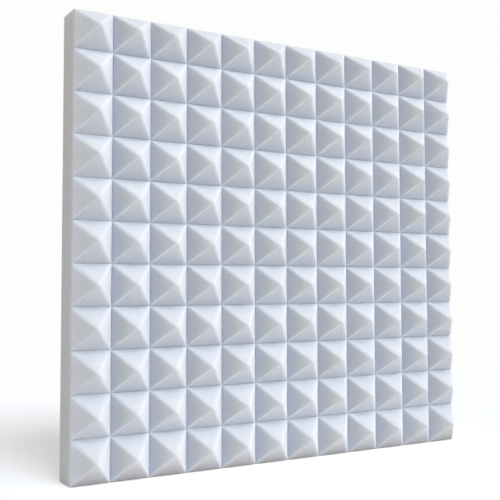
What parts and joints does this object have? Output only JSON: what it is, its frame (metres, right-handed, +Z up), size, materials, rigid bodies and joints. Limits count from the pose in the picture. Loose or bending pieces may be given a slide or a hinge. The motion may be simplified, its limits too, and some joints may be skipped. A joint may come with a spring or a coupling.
{
  "type": "acoustic foam panel",
  "caption": "Pale acoustic foam panel: a flat slab whose front is a field of rounded four-sided pyramids, with a self-adhesive back under a split release liner.",
  "frame": {"origin": "under the middle of the panel, at its bottom edge", "axes": "+Z up the panel as it stands, -Y the way the pyramids face, +Y towards the wall it is stuck to, +X to the right seen from the front"},
  "size_m": [0.61, 0.0638, 0.574],
  "materials": {
    "foam": "open-cell foam, matt, pale cool grey-white",
    "adhesive": "clear tacky film, slightly yellow",
    "liner": "siliconised paper, smooth, off-white"
  },
  "bodies": {
    "root": {"foam_panel": "foam", "adhesive_film": "adhesive", "release_liner_left": "liner", "release_liner_right": "liner"}
  },
  "joints": []
}
